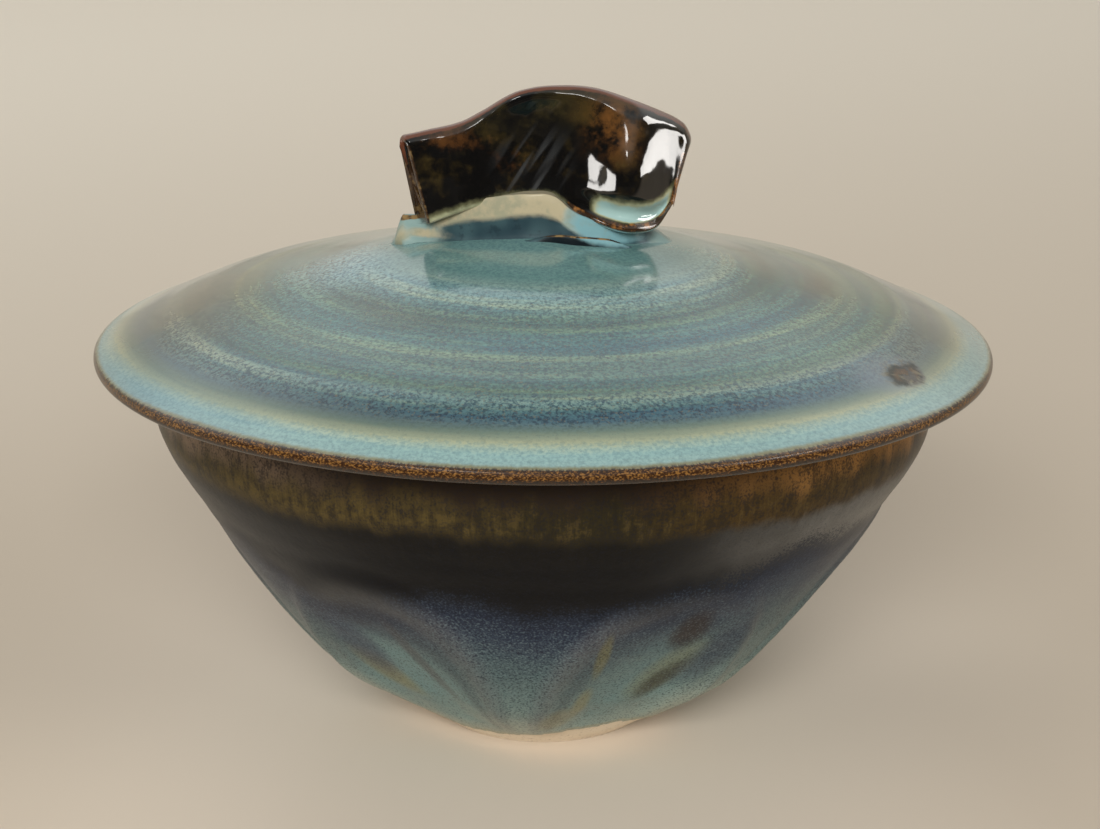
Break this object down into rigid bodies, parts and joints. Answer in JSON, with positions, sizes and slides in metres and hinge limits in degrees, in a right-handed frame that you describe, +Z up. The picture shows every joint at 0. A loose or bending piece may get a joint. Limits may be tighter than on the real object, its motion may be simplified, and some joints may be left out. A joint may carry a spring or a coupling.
{
  "type": "lidded yarn bowl",
  "caption": "Hand-thrown stoneware bowl that holds a ball of yarn, with an overhanging domed lid that lifts off by a pinched clay handle.",
  "frame": {"origin": "middle of the foot, on the surface that the bowl stands on", "axes": "+Z up along the axis of the bowl, +X along the handle, -Y towards the side where the handle is pressed in"},
  "size_m": [0.178, 0.178, 0.1295],
  "materials": {
    "bowl_glaze": "satin to glossy, rust brown at the rim, near black below and slate blue near a bare cream foot",
    "lid_glaze": "glossy sea blue with darker and olive throwing rings, breaking to brown on the lip",
    "pooled_glaze": "glossy pale blue and cream, pooled thick",
    "handle_glaze": "very glossy black-brown, breaking to rust on its edges"
  },
  "bodies": {
    "bowl": {"bowl": "bowl_glaze"},
    "lid": {"lid": "lid_glaze", "handle_base": "pooled_glaze", "handle": "handle_glaze"}
  },
  "joints": [
    {"name": "lid_lift", "type": "slide", "parent": "bowl", "child": "lid", "axis": [0, 0, 1], "range_m": [0, 0.12]}
  ]
}
